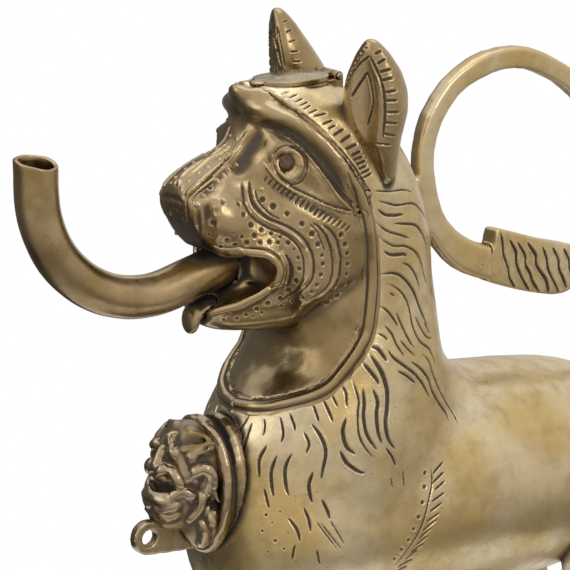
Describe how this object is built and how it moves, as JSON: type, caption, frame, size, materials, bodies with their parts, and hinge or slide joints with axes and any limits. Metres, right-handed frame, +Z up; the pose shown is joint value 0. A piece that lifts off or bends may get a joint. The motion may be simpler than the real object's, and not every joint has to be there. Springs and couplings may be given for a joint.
{
  "type": "lion aquamanile",
  "caption": "Hollow cast brass water vessel shaped as a standing lion: curved spout in its jaws, looped tail handle, hinged lid on the crown.",
  "frame": {"origin": "middle of the bounding box, on the plane that the paws stand on", "axes": "+Z up; the lion faces -X, so its spout is at -X and its rump at +X; its left flank is towards -Y"},
  "size_m": [0.3258, 0.1084, 0.3512],
  "materials": {
    "cast_brass": "lost-wax cast brass, scraped and rubbed bright, with brown-grey patina in its chased lines",
    "drawn_brass": "drawn brass tube, handled smooth, with fine lengthwise scratches",
    "dark_brass": "cast brass left dark in its hollows, rubbed bright on its ridges",
    "pupil_inlay": "drilled pupils with a matt red-brown crust"
  },
  "bodies": {
    "vessel": {"body_shell": "cast_brass", "face_shell": "cast_brass", "ruff_band": "cast_brass", "belly_patch": "cast_brass", "ear_left": "cast_brass", "ear_right": "cast_brass", "pupil_left": "pupil_inlay", "pupil_right": "pupil_inlay", "tongue": "dark_brass", "spout_tube": "drawn_brass", "foreleg_left": "cast_brass", "foreleg_right": "cast_brass", "hindleg_left": "cast_brass", "hindleg_right": "cast_brass", "tail_handle": "cast_brass", "tail_tuft": "cast_brass", "nape_pin": "cast_brass", "rump_pin": "cast_brass", "mask_plate": "dark_brass", "mask_beast": "dark_brass", "mask_eyelet": "dark_brass", "lid_collar": "cast_brass", "lid_pin": "dark_brass"},
    "lid": {"filler_lid": "cast_brass"}
  },
  "joints": [
    {"name": "lid_hinge", "type": "hinge", "parent": "vessel", "child": "lid", "pos_m": [-0.0071, 0, 0.3268], "axis": [0, 1, 0], "range_deg": [0, 110]}
  ]
}
